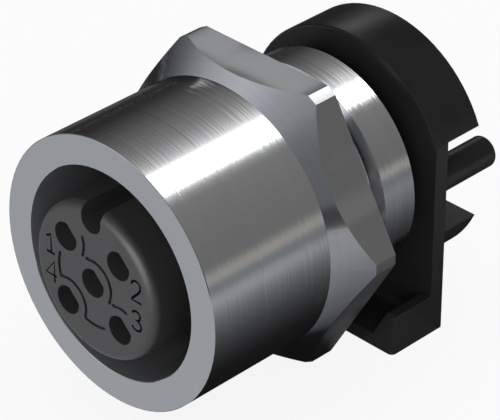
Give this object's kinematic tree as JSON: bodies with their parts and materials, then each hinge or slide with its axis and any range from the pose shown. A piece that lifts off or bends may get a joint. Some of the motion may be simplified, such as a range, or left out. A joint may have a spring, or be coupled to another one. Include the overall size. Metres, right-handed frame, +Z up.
{
  "type": "circular m12 panel socket for circuit boards",
  "caption": "Straight round M12 socket with a hexagonal panel flange, a coded contact carrier and a board base with pegs.",
  "frame": {"origin": "on the connector's axis, in the plane where the rear face of the hexagon meets the panel", "axes": "+Y along the axis from the mating side to the board side, +Z up through the coding slot, +X to the right seen from the mating side"},
  "size_m": [0.017, 0.0222, 0.0157],
  "materials": {
    "nickel_plate": "turned and nickel plated",
    "carrier_plastic": "moulded, satin",
    "base_plastic": "moulded, satin",
    "seal_rubber": "matt",
    "contact_gold": "gold plated"
  },
  "bodies": {
    "root": {"shell": "nickel_plate", "panel_seal": "seal_rubber", "carrier_seal": "seal_rubber", "contact_carrier": "carrier_plastic", "pcb_base": "base_plastic", "contact_1": "contact_gold", "contact_2": "contact_gold", "contact_3": "contact_gold", "contact_4": "contact_gold", "contact_5": "contact_gold"}
  },
  "joints": []
}
